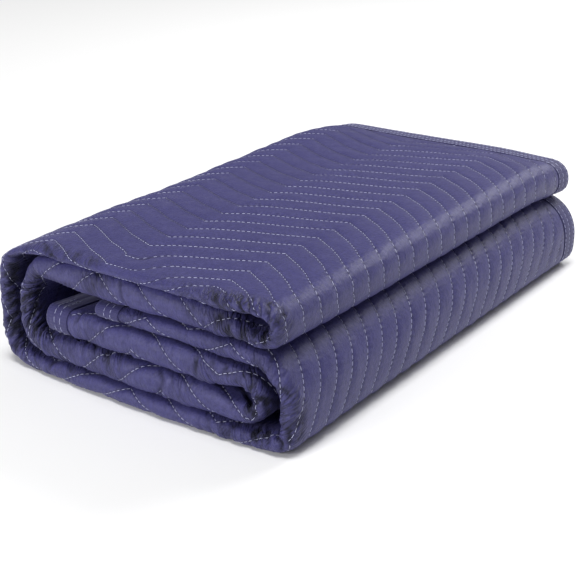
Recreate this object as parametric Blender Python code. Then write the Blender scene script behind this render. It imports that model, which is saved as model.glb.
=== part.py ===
"""A quilted moving blanket, folded in four along its length and then turned over and over across its
width, so that it lies as a flat bundle of six thick layers with two round folds at its right.

Metres, +Z up. The origin is under the middle of the bundle, on the surface that it lies on. +X points to
the two round folds, and +Y from the folded ends of the layers to the bound ends.
"""

import math

import bmesh
import bpy
import numpy as np

# The padded cloth
PLY = 0.0043
PLY_GAP = 0.0005
BOUND_PLY = 0.0020
PLY_STEP = PLY + PLY_GAP
PLY_HEIGHTS = [PLY_STEP * n for n in (1.5, 0.5, -0.5, -1.5)]
STACK_HALF = 2 * PLY + 1.5 * PLY_GAP

# The bundle
LENGTH = 0.525
HEIGHT = 0.1196
LEVELS = 6
LEVEL_STEP = (HEIGHT - 2 * STACK_HALF) / (LEVELS - 1)
SIDE = 0.157
NEAR_END = -LENGTH / 2
FAR_END = LENGTH / 2
UNDER_EDGE_BACK = 0.006
FOLD_BACK = 0.004
NEAR_NOSE = NEAR_END + STACK_HALF
FAR_FOLD = FAR_END - FOLD_BACK - PLY_STEP

# The layers in the order of the cloth's width. Each row has the layer's place above the surface, counted
# from the lowest, the X where it starts and ends, how much of the quilting's relief shows on it, and how
# far its folded near end lies back.
LAYERS = (
    {"name": "core_upper", "level": 2, "start": -0.0930, "end": 0.1120, "relief": 0.25, "back": 0.002},
    {"name": "core_lower", "level": 1, "start": 0.1120, "end": -0.0980, "relief": 0.25, "back": 0.002},
    {"name": "under_top", "level": 4, "start": -0.0980, "end": 0.1260, "relief": 0.25, "back": 0.004},
    {"name": "top", "level": 5, "start": 0.1260, "end": -0.1040, "relief": 1.0, "back": 0.0},
    {"name": "base", "level": 0, "start": -0.1040, "end": 0.1190, "relief": 0.0, "back": 0.002},
    {"name": "tucked", "level": 3, "start": 0.1190, "end": -0.0350, "relief": 0.25, "back": 0.004},
)

# The turns between one layer and the next. Each row has the side that it turns at, how far its middle
# reaches past the layers' ends, where up its height it is widest, how square it is below and above that
# place (2 is an ellipse), how thin the stack is pressed there, and how much relief shows.
TURNS = (
    {"name": "core_fold", "side": 1, "reach": 0.0140, "waist": 0.50, "square_low": 2.0, "square_high": 2.0,
     "press": 0.75, "relief": 0.25},
    {"name": "inner_wrap", "side": -1, "reach": 0.0260, "waist": 0.45, "square_low": 2.6, "square_high": 2.2,
     "press": 0.86, "relief": 0.25},
    {"name": "upper_fold", "side": 1, "reach": 0.0141, "waist": 0.48, "square_low": 2.7, "square_high": 2.2,
     "press": 0.62, "relief": 1.0},
    {"name": "outer_wrap", "side": -1, "reach": 0.0448, "waist": 0.38, "square_low": 3.6, "square_high": 3.4,
     "press": 0.88, "relief": 1.0},
    {"name": "lower_fold", "side": 1, "reach": 0.0315, "waist": 0.42, "square_low": 4.6, "square_high": 2.1,
     "press": 0.82, "relief": 1.0},
)
LEAD = 0.040
RELIEF_LEAD = 1 / 6
ROUTE_SAMPLE = 0.001
SECTION_STEP = 0.080
SECTION_TURN = math.radians(39)
MARKS_APART = 0.008
STEP_SLACK = 0.25

# The quilting: zigzag rows that run along the width, sewn down between soft ridges
ROW_PITCH = 0.024
ROWS = 20
FIRST_ROW = NEAR_NOSE + 0.018
ZIGZAG_HALF = 0.102
ZIGZAG_WIDTH = 0.058
ZIGZAG_CORNER = 0.078
ZIGZAG_FADE = 0.105
CREST = 0.0010
VALLEY = -0.0013
NOSE_STEPS = 5
INNER_NOSE_STEPS = 3

# The binding: a strip folded over each edge
BINDING_WIDTH = 0.026
CLEAR = 0.0004
BINDING_SKIN = (PLY - BOUND_PLY) / 2 - CLEAR
EDGE_IN = BINDING_SKIN + CLEAR
SEWN_STEP = 0.0015

# Heights of the creases between the layers at the near end, and of the top over them, at four places
# in X. They are even further in.
CREASE_PLACES = (-0.150, -0.100, 0.060, 0.140)
CREASES = (
    {"above": "base", "heights": (0.0170, 0.0170, 0.0170, 0.0180)},
    {"above": "core_lower", "heights": (0.0380, 0.0430, 0.0435, 0.0410)},
    {"above": "core_upper", "heights": (0.0590, 0.0700, 0.0710, 0.0610)},
    {"above": "tucked", "heights": (0.0750, 0.0840, 0.0860, 0.0820)},
    {"above": "under_top", "heights": (0.0920, 0.1040, 0.1030, 0.1020)},
    {"above": "top", "heights": (0.1050, 0.1190, 0.1196, 0.1196)},
)
CREASE_DEPTH = 0.150

# The near end bows out in the middle
BOW = 0.008

# The far end sinks, because no fold holds it up, and most at its left
SINK_PLACES = (-0.100, 0.070, 0.150)
SINKS = (0.058, 0.046, 0.080)
SINK_LENGTH = 0.075
PLAIN_STOPS = (NEAR_END + CREASE_DEPTH, FAR_END - SINK_LENGTH)

COLLECTION = "moving_blanket"
NAVY = (0.030, 0.034, 0.110, 1.0)
TAPE_NAVY = (0.024, 0.027, 0.088, 1.0)
CLOTH_ROUGHNESS = 0.62
TAPE_ROUGHNESS = 0.70
SHARP_ANGLE = math.radians(40)


def ease(share):
    """A smooth step from 0 to 1."""
    share = min(max(share, 0.0), 1.0)
    return share * share * (3 - 2 * share)


def fade(share):
    """A smooth step from 1 to 0."""
    return 1.0 - ease(share)


def level_height(level):
    """The height of a layer's middle."""
    return STACK_HALF + level * LEVEL_STEP


class Route:
    """The way of the stack's middle across the width, sampled finely. Its normal points to the side that
    is outside on the top, the left wrap and both right folds."""

    def __init__(self):
        self.points = []
        self.press = []
        self.relief = []
        self.back = []
        self.joints = []
        for i, layer in enumerate(LAYERS):
            self.add_layer(layer, TURNS[i - 1] if i else None, TURNS[i] if i < len(TURNS) else None, i)
            if i < len(TURNS):
                self.add_turn(TURNS[i], layer, LAYERS[i + 1])
        self.points = np.array(self.points)
        ways = np.gradient(self.points, axis=0)
        ways /= np.linalg.norm(ways, axis=1)[:, None]
        self.normals = np.stack([ways[:, 1], -ways[:, 0]], axis=1)
        gaps = np.linalg.norm(np.diff(self.points, axis=0), axis=1)
        self.distance = np.concatenate([[0.0], np.cumsum(gaps)])
        turned = np.abs(np.diff(np.unwrap(np.arctan2(ways[:, 1], ways[:, 0]))))
        self.sections = np.concatenate([[0.0], np.cumsum(gaps / SECTION_STEP + turned / SECTION_TURN)])

    def turn_half(self, turn, layer, after):
        """Half the height of a turn, which keeps its outside level with the layers'."""
        apart = abs(level_height(after["level"]) - level_height(layer["level"]))
        return apart / 2 + (1 - turn["press"]) * STACK_HALF

    def lift(self, turn, layer, other):
        """How far a turn moves a layer's middle up or down at the layer's end."""
        outward = math.copysign(1, layer["level"] - other["level"])
        return outward * (1 - turn["press"]) * STACK_HALF

    def put(self, x, z, press, relief, back):
        self.points.append((x, z))
        self.press.append(press)
        self.relief.append(relief)
        self.back.append(back)

    def add_layer(self, layer, before, after, i):
        start, end = layer["start"], layer["end"]
        length = abs(end - start)
        count = round(length / ROUTE_SAMPLE)
        self.joints.append(len(self.points))
        for k in range(count):
            gone = length * k / count
            x = start + (end - start) * k / count
            z, press = level_height(layer["level"]), 1.0
            if before:
                share = fade(gone / LEAD)
                z += share * self.lift(before, layer, LAYERS[i - 1])
                press -= share * (1 - before["press"])
            if after:
                share = fade((length - gone) / LEAD)
                z += share * self.lift(after, layer, LAYERS[i + 1])
                press -= share * (1 - after["press"])
            self.put(x, z, press, layer["relief"], layer["back"])
        if not after:
            self.put(end, level_height(layer["level"]), 1.0, layer["relief"], layer["back"])

    def add_turn(self, turn, layer, after):
        half = self.turn_half(turn, layer, after)
        rise = math.copysign(1, after["level"] - layer["level"])
        middle = (level_height(layer["level"]) + level_height(after["level"])) / 2
        waist = middle + (2 * turn["waist"] - 1) * half
        count = round(math.pi * (half + turn["reach"]) / 2 / ROUTE_SAMPLE)
        self.joints.append(len(self.points))
        for k in range(count):
            share = k / count
            angle = math.pi * (share - 0.5) * rise
            power = 2 / turn["square_high" if angle > 0 else "square_low"]
            out = abs(math.cos(angle)) ** power
            up = abs(math.sin(angle)) ** power
            z = waist + up * (middle + half - waist if angle > 0 else middle - half - waist)
            relief = turn["relief"]
            relief += (layer["relief"] - turn["relief"]) * fade(share / RELIEF_LEAD)
            relief += (after["relief"] - turn["relief"]) * fade((1 - share) / RELIEF_LEAD)
            back = layer["back"] + (after["back"] - layer["back"]) * ease(share)
            self.put(layer["end"] + turn["side"] * turn["reach"] * out, z, turn["press"], relief, back)

    def at(self, distance):
        """Middle point, normal, press, relief and setback at a distance along the route."""
        def read(values):
            return np.interp(distance, self.distance, values)
        point = np.array([read(self.points[:, 0]), read(self.points[:, 1])])
        normal = np.array([read(self.normals[:, 0]), read(self.normals[:, 1])])
        return point, normal / np.linalg.norm(normal), read(self.press), read(self.relief), read(self.back)

    def passing(self, i, x):
        """The distance at which a layer or turn comes nearest to a place in X."""
        first = self.joints[i]
        last = self.joints[i + 1] if i + 1 < len(self.joints) else len(self.points)
        return self.distance[first + int(np.argmin(np.abs(self.points[first:last, 0] - x)))]

    def top_corner(self):
        """The distance of a zigzag corner on the top layer."""
        return self.passing(2 * [layer["name"] for layer in LAYERS].index("top"), ZIGZAG_CORNER)

    def stations(self):
        """Distances of the sections: the zigzag's corners, the joints of layers and turns, the place where
        the creases bend, and even steps of length and turning between them."""
        end = self.distance[-1]
        corners = list(np.arange(self.top_corner() % ZIGZAG_HALF, end, ZIGZAG_HALF))
        joints = [self.distance[j] for j in self.joints] + [end]
        joints[0] += EDGE_IN
        joints[-1] -= EDGE_IN
        marks = []
        for i, (a, b) in enumerate(zip(joints, joints[1:])):
            bends = [self.passing(i, CREASE_PLACES[2])] if i % 2 == 0 else []
            marks += [a] + sorted(c for c in corners + bends if a + MARKS_APART < c < b - MARKS_APART)
        marks.append(joints[-1])
        stops = []
        for a, b in zip(marks, marks[1:]):
            first, last = np.interp([a, b], self.distance, self.sections)
            steps = math.ceil(last - first - STEP_SLACK)
            for n in range(max(steps, 1)):
                passed = first + (last - first) * n / max(steps, 1)
                stops.append(float(np.interp(passed, self.sections, self.distance)))
        stops.append(marks[-1])
        for sewn in (BINDING_WIDTH, BINDING_WIDTH + SEWN_STEP):
            stops += [sewn, end - sewn]
        return sorted(stops)


def zigzag(distance, corner):
    """How far the rows lie from their mean line at a distance along the width."""
    turns = (distance - corner) / ZIGZAG_HALF
    saw = abs((turns % 2) - 1)
    return ZIGZAG_WIDTH * (saw - 0.5)


def row_places(shift):
    """The Y of the rows' lines and of the ridges between them, near to far, with each one's relief."""
    places = []
    first, last = NEAR_NOSE, FAR_END - BINDING_WIDTH
    for j in range(2 * ROWS - 1):
        y = FIRST_ROW + j * ROW_PITCH / 2
        room = min(ease((y - first) / ZIGZAG_FADE), ease((last - y) / ZIGZAG_FADE))
        places.append((y + shift * room, CREST if j % 2 else VALLEY))
    return places


def arc(y, radius, start, end, middle, steps):
    """Points of a round end, without its first and last."""
    points = []
    for k in range(1, steps):
        angle = math.radians(start + (end - start) * k / steps)
        points.append((y + radius * math.cos(angle), middle + radius * math.sin(angle)))
    return points


def lengthwise_section(shift, relief, ply):
    """The back-and-forth outline of the four plies, as Y and the height over the stack's middle."""
    upper, under, inner, lower = PLY_HEIGHTS
    thick, thin = ply / 2, min(ply, BOUND_PLY) / 2
    nose, fold = NEAR_NOSE, FAR_FOLD
    stops = (nose,) + PLAIN_STOPS
    sewn, under_sewn = FAR_END - BINDING_WIDTH, FAR_END - UNDER_EDGE_BACK - BINDING_WIDTH
    edge, under_edge = FAR_END - EDGE_IN, FAR_END - UNDER_EDGE_BACK - EDGE_IN

    outside = [(edge, upper + thin), (sewn, upper + thin), (sewn - SEWN_STEP, upper + thick)]
    for y, raised in reversed(row_places(shift)):
        outside.append((y, upper + thick + raised * relief))
    outside.append((nose, upper + thick))
    outside += arc(nose, upper + thick, 90, 270, 0.0, NOSE_STEPS)
    outside += [(y, lower - thick) for y in stops + (fold,)]
    outside += arc(fold, PLY_STEP / 2 + thick, -90, 90, (inner + lower) / 2, INNER_NOSE_STEPS)
    outside += [(y, inner + thick) for y in reversed(stops + (fold,))]
    outside += arc(nose, PLY_STEP / 2 - thick, 270, 90, 0.0, INNER_NOSE_STEPS)
    outside += [(y, under - thick) for y in stops]
    outside += [(under_sewn - SEWN_STEP, under - thick), (under_sewn, under - thin), (under_edge, under - thin)]

    inside = [(under_edge, under + thin), (under_sewn, under + thin), (under_sewn - SEWN_STEP, under + thick)]
    inside += [(y, under + thick) for y in reversed(stops)]
    inside += arc(nose, PLY_STEP / 2 + thick, 90, 270, 0.0, INNER_NOSE_STEPS)
    inside += [(y, inner - thick) for y in stops + (fold,)]
    inside += arc(fold, PLY_STEP / 2 - thick, 90, -90, (inner + lower) / 2, INNER_NOSE_STEPS)
    inside += [(y, lower + thick) for y in reversed(stops + (fold,))]
    inside += arc(nose, upper - thick, 270, 90, 0.0, NOSE_STEPS)
    inside += [(y, upper - thick) for y in stops]
    inside += [(sewn - SEWN_STEP, upper - thick), (sewn, upper - thin), (edge, upper - thin)]
    return outside, inside


def ply_route():
    """The middle of the cloth down the four plies, each point with its normal, from edge to edge."""
    upper, under, inner, lower = PLY_HEIGHTS
    stops = (NEAR_NOSE,) + PLAIN_STOPS
    way = [(y, upper, 0.0, 1.0) for y in (FAR_END,) + tuple(reversed(stops))]
    way += bend(NEAR_NOSE, upper, 90, 270, 0.0, NOSE_STEPS, 1)
    way += [(y, lower, 0.0, -1.0) for y in stops + (FAR_FOLD,)]
    way += bend(FAR_FOLD, PLY_STEP / 2, -90, 90, (inner + lower) / 2, INNER_NOSE_STEPS, 1)
    way += [(y, inner, 0.0, 1.0) for y in reversed(stops + (FAR_FOLD,))]
    way += bend(NEAR_NOSE, PLY_STEP / 2, 270, 90, 0.0, INNER_NOSE_STEPS, -1)
    way += [(y, under, 0.0, -1.0) for y in stops + (FAR_END - UNDER_EDGE_BACK,)]
    return way


def bend(y, radius, start, end, middle, steps, side):
    """Points of a round end as arc() gives them, each with the normal away from or to its centre."""
    points = []
    for place in arc(y, radius, start, end, middle, steps):
        normal = ((place[0] - y) / radius * side, (place[1] - middle) / radius * side)
        points.append(place + normal)
    return points


def near_share(y):
    """1 at the near end, and 0 past the depth that its unevenness reaches."""
    return min(max(1 - (y - NEAR_END) / CREASE_DEPTH, 0.0), 1.0)


def settle(x, y, z):
    """Moves a point of the even bundle to where it lies in the uneven one."""
    near = near_share(y)
    even = [HEIGHT * level / LEVELS for level in range(LEVELS + 1)]
    uneven = [0.0] + [float(np.interp(x, CREASE_PLACES, crease["heights"])) for crease in CREASES]
    z += near * (float(np.interp(z, even, uneven)) - min(max(z, 0.0), HEIGHT))
    sunk = np.interp(x, SINK_PLACES, SINKS) * max(0.0, (y - FAR_END) / SINK_LENGTH + 1)
    bow = BOW * (x / SIDE) ** 2
    return x, y + near * bow, z * (1 - sunk)


def place(route, distance, y, height):
    """A point of the bundle, from its place along the width and in the lengthwise section."""
    point, normal, press, _, back = route.at(distance)
    x, z = point + normal * height * press
    return settle(x, y + back * near_share(y), z)


def cap(bm, outside, inside):
    """Closes the end of a band between its two sides, with triangles across it."""
    near, far = outside, list(reversed(inside))
    i, j = 0, 0
    while i < len(near) - 1 or j < len(far) - 1:
        step_near = (near[i + 1].co - far[j].co).length if i < len(near) - 1 else math.inf
        step_far = (far[j + 1].co - near[i].co).length if j < len(far) - 1 else math.inf
        if step_near <= step_far:
            bm.faces.new((near[i], near[i + 1], far[j]))
            i += 1
        else:
            bm.faces.new((near[i], far[j + 1], far[j]))
            j += 1


def loft(name, sections):
    """One closed solid through like bands, each given as its two sides. Every square is split the same
    way as seen from above, so that cloth that lies on cloth has the same flats."""
    bm = bmesh.new()
    bands = [[[bm.verts.new(p) for p in side] for side in section] for section in sections]
    rings = [outside + inside for outside, inside in bands]
    count = len(rings[0])
    for ring, following in zip(rings, rings[1:]):
        rightward = sum(v.co.x for v in following) > sum(v.co.x for v in ring)
        for j in range(count):
            k = (j + 1) % count
            if (ring[j].co.y <= ring[k].co.y) == rightward:
                bm.faces.new((ring[j], ring[k], following[k]))
                bm.faces.new((ring[j], following[k], following[j]))
            else:
                bm.faces.new((ring[j], ring[k], following[j]))
                bm.faces.new((ring[k], following[k], following[j]))
    cap(bm, *bands[0])
    cap(bm, *bands[-1])
    bmesh.ops.recalc_face_normals(bm, faces=bm.faces)
    mesh = bpy.data.meshes.new(name)
    bm.to_mesh(mesh)
    bm.free()
    mesh.shade_smooth()
    mesh.set_sharp_from_angle(angle=SHARP_ANGLE)
    return mesh


def add_part(name, mesh, material, collection):
    piece = bpy.data.objects.new(name, mesh)
    mesh.materials.append(material)
    collection.objects.link(piece)
    return piece


def cloth_material(name, colour, roughness):
    material = bpy.data.materials.new(name)
    material.use_nodes = True
    shader = material.node_tree.nodes["Principled BSDF"]
    shader.inputs["Base Color"].default_value = colour
    shader.inputs["Roughness"].default_value = roughness
    shader.inputs["Metallic"].default_value = 0.0
    material.diffuse_color = colour
    return material


def panel_mesh(route):
    """The whole quilted cloth, as one solid."""
    corner = route.top_corner()
    end = route.distance[-1]
    sections = []
    for distance in route.stations():
        bound = min(distance, end - distance) < BINDING_WIDTH + SEWN_STEP / 2
        relief = 0.0 if bound else route.at(distance)[3]
        section = lengthwise_section(zigzag(distance, corner), relief, BOUND_PLY if bound else PLY)
        sections.append([[place(route, distance, y, h) for y, h in side] for side in section])
    return loft("quilted_panel", sections)


def strip_band():
    """The two sides of a folded strip's section: the way in from its edge, and off the cloth's middle."""
    outer, inner, depth = PLY / 2, BOUND_PLY / 2 + CLEAR, BINDING_WIDTH - CLEAR
    outside = [(depth, outer), (0.0, outer), (0.0, -outer), (depth, -outer)]
    inside = [(depth, -inner), (BINDING_SKIN, -inner), (BINDING_SKIN, inner), (depth, inner)]
    return outside, inside


def far_binding_mesh(name, route, edge, height):
    """A strip over a short edge, which follows the layers across the width between the side strips."""
    end = route.distance[-1]
    limit = BINDING_WIDTH + CLEAR
    stations = [limit] + [d for d in route.stations() if limit < d < end - limit] + [end - limit]
    sections = []
    for distance in stations:
        band = [[place(route, distance, edge - way, height + off) for way, off in side] for side in strip_band()]
        sections.append(band)
    return loft(name, sections)


def side_binding_mesh(name, route, at_start):
    """A strip over a long edge, which follows the four plies at a free end of the layers."""
    end = route.distance[-1]
    sections = []
    for y, height, along, off_way in ply_route():
        band = []
        for side in strip_band():
            points = []
            for way, off in side:
                distance = way if at_start else end - way
                points.append(place(route, distance, y + along * off, height + off_way * off))
            band.append(points)
        sections.append(band)
    return loft(name, sections)


def main():
    for piece in list(bpy.data.objects):
        bpy.data.objects.remove(piece, do_unlink=True)
    collection = bpy.data.collections.new(COLLECTION)
    bpy.context.scene.collection.children.link(collection)
    quilted = cloth_material("quilted_cloth", NAVY, CLOTH_ROUGHNESS)
    tape = cloth_material("binding_tape", TAPE_NAVY, TAPE_ROUGHNESS)
    route = Route()
    upper, under = PLY_HEIGHTS[0], PLY_HEIGHTS[1]
    under_edge = FAR_END - UNDER_EDGE_BACK
    add_part("quilted_panel", panel_mesh(route), quilted, collection)
    far_outer = far_binding_mesh("binding_far_outer", route, FAR_END, upper)
    far_under = far_binding_mesh("binding_far_under", route, under_edge, under)
    add_part("binding_far_outer", far_outer, tape, collection)
    add_part("binding_far_under", far_under, tape, collection)
    add_part("binding_side_core", side_binding_mesh("binding_side_core", route, True), tape, collection)
    add_part("binding_side_tucked", side_binding_mesh("binding_side_tucked", route, False), tape, collection)


main()
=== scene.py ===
"""The looks of a quilted moving blanket that lies folded into a bundle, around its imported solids.

The cloth is one closed sheet on the folds of its solid: four plies along the length, turned over and over
across the width into six layers. A point of the cloth is known by S, its distance across the width, and U,
its distance along the length. The zigzag quilting, puckers and creases are all placed in S and U.
"""

import math

import bmesh
import bpy
import numpy as np
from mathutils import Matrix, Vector


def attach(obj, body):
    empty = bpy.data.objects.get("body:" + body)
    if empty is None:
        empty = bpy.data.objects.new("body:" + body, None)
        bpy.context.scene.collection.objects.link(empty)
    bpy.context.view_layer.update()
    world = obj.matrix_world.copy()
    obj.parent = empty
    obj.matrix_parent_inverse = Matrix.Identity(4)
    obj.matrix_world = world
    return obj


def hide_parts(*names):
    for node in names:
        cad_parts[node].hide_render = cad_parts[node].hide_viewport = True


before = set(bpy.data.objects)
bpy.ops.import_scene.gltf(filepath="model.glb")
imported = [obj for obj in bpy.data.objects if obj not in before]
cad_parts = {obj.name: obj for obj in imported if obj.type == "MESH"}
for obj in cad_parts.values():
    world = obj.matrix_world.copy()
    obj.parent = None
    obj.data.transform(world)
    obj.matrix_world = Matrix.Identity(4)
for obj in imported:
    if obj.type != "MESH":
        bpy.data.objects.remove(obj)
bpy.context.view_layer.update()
bpy.ops.object.select_all(action="DESELECT")

# The padded cloth, as in its solid
PLY = 0.0043
PLY_GAP = 0.0005
BOUND_PLY = 0.0020
PLY_STEP = PLY + PLY_GAP
STACK_HALF = 2 * PLY + 1.5 * PLY_GAP

# The bundle, as in its solid
LENGTH = 0.525
HEIGHT = 0.1196
LEVELS = 6
LEVEL_STEP = (HEIGHT - 2 * STACK_HALF) / (LEVELS - 1)
SIDE = 0.157
NEAR_END = -LENGTH / 2
FAR_END = LENGTH / 2
UNDER_EDGE_BACK = 0.006
NEAR_NOSE = NEAR_END + STACK_HALF
FOLD_BACK = 0.004
FAR_FOLD = FAR_END - FOLD_BACK - PLY_STEP
# The six layers in the order of the cloth, from and to a place in X, and the turns between them
LAYERS = (
    {"name": "core_upper", "level": 2, "start": -0.0930, "end": 0.1120, "back": 0.002},
    {"name": "core_lower", "level": 1, "start": 0.1120, "end": -0.0980, "back": 0.002},
    {"name": "under_top", "level": 4, "start": -0.0980, "end": 0.1260, "back": 0.004},
    {"name": "top", "level": 5, "start": 0.1260, "end": -0.1040, "back": 0.0},
    {"name": "base", "level": 0, "start": -0.1040, "end": 0.1190, "back": 0.002},
    {"name": "tucked", "level": 3, "start": 0.1190, "end": -0.0350, "back": 0.004},
)
TURNS = (
    {"side": 1, "reach": 0.0140, "waist": 0.50, "square_low": 2.0, "square_high": 2.0, "press": 0.75},
    {"side": -1, "reach": 0.0260, "waist": 0.45, "square_low": 2.6, "square_high": 2.2, "press": 0.86},
    {"side": 1, "reach": 0.0141, "waist": 0.48, "square_low": 2.7, "square_high": 2.2, "press": 0.62},
    {"side": -1, "reach": 0.0448, "waist": 0.38, "square_low": 3.6, "square_high": 3.4, "press": 0.88},
    {"side": 1, "reach": 0.0315, "waist": 0.42, "square_low": 4.6, "square_high": 2.1, "press": 0.82},
)
LEAD = 0.040
ROUTE_SAMPLE = 0.001
# The creases between the layers at the near end: their heights at places in X. The lip under the top layer
# is lifted more than in the solid.
CREASE_PLACES = (-0.150, -0.100, 0.060, 0.140)
CREASES = (
    (0.0170, 0.0170, 0.0170, 0.0180),
    (0.0380, 0.0430, 0.0435, 0.0410),
    (0.0590, 0.0700, 0.0710, 0.0610),
    (0.0750, 0.0840, 0.0860, 0.0820),
    (0.0950, 0.1110, 0.1115, 0.1030),
    (0.1050, 0.1190, 0.1196, 0.1196),
)
CREASE_DEPTH = 0.150
BOW = 0.008
# How much lower the far end lies, as a share of the height, at places in X
SINK_PLACES = (-0.100, 0.070, 0.150)
SINKS = (0.058, 0.046, 0.080)
SINK_LENGTH = 0.075
# The places in X, beside a point, over which the heights are evened out
BEND_WAYS = (-0.018, -0.009, 0.0, 0.009, 0.018)
# Where the bundle swells or has settled: a place in X and Y, how far it reaches each way, and the rise,
# which grows over a share of the height
SWELL_FROM = 0.35
SWELL_OVER = 0.6
SWELLS = (
    (-0.135, -0.080, 0.035, 0.095, -0.0038),
    (-0.120, 0.165, 0.050, 0.075, 0.0038),
    (-0.020, -0.020, 0.050, 0.140, 0.0030),
    (0.030, -0.215, 0.060, 0.025, -0.0012),
)

# The quilting
ROW_PITCH = 0.024
SLANT = math.radians(29.8)
FIRST_LINE_Y = -0.2005
# The zigzag: places across the width, and how far along the length the lines lie there
ZIGZAG = (
    (0.0000, 0.0623), (0.0285, 0.0460), (0.0985, 0.0860), (0.1700, 0.0452), (0.1850, 0.0400),
    (0.1970, 0.0440), (0.2378, 0.0674), (0.2950, 0.0360), (0.3250, 0.0190), (0.3900, 0.0577),
    (0.4205, 0.0752), (0.4915, 0.0316), (0.5180, 0.0164), (0.5655, 0.0436), (0.6135, 0.0738),
    (0.7250, 0.0105), (0.7893, 0.0478), (0.7971, 0.0520), (0.8085, 0.0490), (0.8142, 0.0445),
    (0.8270, 0.0298), (0.8427, 0.0160), (0.8679, 0.0000), (0.8940, 0.0117), (0.9225, 0.0230),
    (0.9510, 0.0365), (0.9690, 0.0490), (1.0009, 0.0370), (1.0470, 0.0120), (1.1490, 0.0705),
    (1.2256, 0.0266), (1.3175, 0.0735), (1.4075, 0.0215), (1.4750, 0.0607), (1.5234, 0.0345),
    (1.5650, 0.0090), (1.6060, 0.0325), (1.6475, 0.0090), (1.7100, 0.0450),
)
# Where the lines lie further along than that: the place, its reach each way, and how much
DRAWN = (
    (0.9500, 0.4980, 0.0170, 0.0170, 0.0170),
    (0.9300, 0.5220, 0.0260, 0.0170, 0.0200),
    (0.8620, 0.5150, 0.0250, 0.0180, -0.0100),
)
LINE_PASSES = 12
# The rise of the rows between their lines, and the groove at each line
VALLEY = 0.0008
GROOVE = 0.0005
GROOVE_HALF = 0.0016
BROAD_UNEVEN = 0.0005
FINE_UNEVEN = 0.0004
HIDDEN_SHARE = 0.15
BINDING_WIDTH = 0.026
BINDING_BLEND = 0.006

# The gathers on the rounded near ends, and how far they reach over the cloth before and after them
PUCKER = 0.0022
PUCKER_LEAN = 0.45
PUCKER_SHARPNESS = 0.65
NOSE_LEAD = 0.016
NOSE_BLEND = 0.014
NOSE_UNDER = 0.012
LEAST_GATHERED = 0.10
PATCHES = 0.75
TURN_GATHERED = 0.35
INNER_GATHERED = 0.75
# Where the near ends are gathered most: a place across the width, its reach, and how much
GATHERS = (
    (0.0480, 0.018, 0.40),
    (0.2050, 0.022, 0.70),
    (0.3900, 0.020, 0.35),
    (0.4400, 0.020, 0.60),
    (0.7450, 0.030, 0.80),
    (0.8350, 0.022, 1.00),
    (0.9050, 0.012, 0.35),
    (1.0400, 0.014, 0.60),
    (1.2250, 0.030, 0.50),
    (1.4200, 0.022, 0.90),
    (1.5600, 0.020, 0.40),
)
# Creases listed one by one: how deep, and the places in S and U that each one passes
CREASE_LINES = (
    (0.0018, (1.0470, 0.5100), (1.0320, 0.5205), (1.0245, 0.5250), (1.0170, 0.5265)),
    (0.0012, (0.5540, 0.5225), (0.5625, 0.5210), (0.5710, 0.5200), (0.5850, 0.5220)),
    (0.0013, (1.1185, 0.5325), (1.1120, 0.5365), (1.1095, 0.5425)),
    (0.0013, (1.1315, 0.5320), (1.1255, 0.5360), (1.1230, 0.5410)),
    (0.0013, (1.1410, 0.5310), (1.1365, 0.5355), (1.1355, 0.5400)),
    (0.0013, (1.1510, 0.5310), (1.1465, 0.5350), (1.1455, 0.5400)),
    (0.0013, (1.1650, 0.5295), (1.1600, 0.5345), (1.1585, 0.5380)),
    (0.0013, (1.1790, 0.5275), (1.1755, 0.5345)),
    (0.0014, (0.4975, 0.5245), (0.5000, 0.5195), (0.5005, 0.5155)),
    (0.0014, (0.4825, 0.5260), (0.4905, 0.5205), (0.4990, 0.5135)),
    (0.0014, (0.4785, 0.5235), (0.4775, 0.5180), (0.4800, 0.5095)),
    (0.0012, (0.4505, 0.5205), (0.4515, 0.5145)),
    (0.0012, (0.0375, 0.5315), (0.0380, 0.5350), (0.0365, 0.5405)),
    (0.0010, (0.0650, 0.5315), (0.0690, 0.5270)),
    (0.0011, (1.2280, 0.5315), (1.2300, 0.5365)),
    (0.0012, (0.8685, 0.5075), (0.8585, 0.5195), (0.8545, 0.5255)),
    (0.0016, (0.8300, 0.5145), (0.8235, 0.5225), (0.8185, 0.5275)),
    (0.0016, (0.8170, 0.5120), (0.8145, 0.5185), (0.8115, 0.5220)),
    (0.0012, (0.7605, 0.5350), (0.7645, 0.5235)),
    (0.0012, (0.7690, 0.5370), (0.7735, 0.5245)),
    (0.0024, (0.2680, 0.4990), (0.2585, 0.5030), (0.2415, 0.5165), (0.2335, 0.5280)),
    (0.0014, (0.2550, 0.5055), (0.2220, 0.5285), (0.2245, 0.5360), (0.2295, 0.5500)),
    (0.0016, (0.2245, 0.5340), (0.2290, 0.5360), (0.2330, 0.5420)),
    (0.0018, (1.4415, 0.5395), (1.4415, 0.5330), (1.4450, 0.5290)),
    (0.0018, (1.4505, 0.5415), (1.4525, 0.5350), (1.4565, 0.5300)),
    (0.0018, (1.4590, 0.5410), (1.4725, 0.5295), (1.4670, 0.5250)),
    (0.0014, (1.4825, 0.5240), (1.4750, 0.5240)),
    (0.0014, (1.5135, 0.5245), (1.5095, 0.5230), (1.5055, 0.5215)),
    (0.0012, (0.3280, 0.5185), (0.3215, 0.5240), (0.3285, 0.5345)),
    (0.0010, (0.1630, 0.5230), (0.1650, 0.5330)),
    (0.0010, (0.6420, 0.5330), (0.6480, 0.5220)),
    (0.0010, (0.1940, 0.5290), (0.1885, 0.5295), (0.1905, 0.5330)),
)
CREASE_HALF = 0.0017
# How dark the cloth is drawn with painted shade in its creases and in the hollow of its outer wrap
CREASE_FULL = 0.0016
OUTER_WRAP = 3
HOLLOW_SHADE = 0.45


def smooth(share):
    """A smooth step from 0 to 1."""
    share = np.clip(share, 0.0, 1.0)
    return share * share * (3 - 2 * share)


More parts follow.
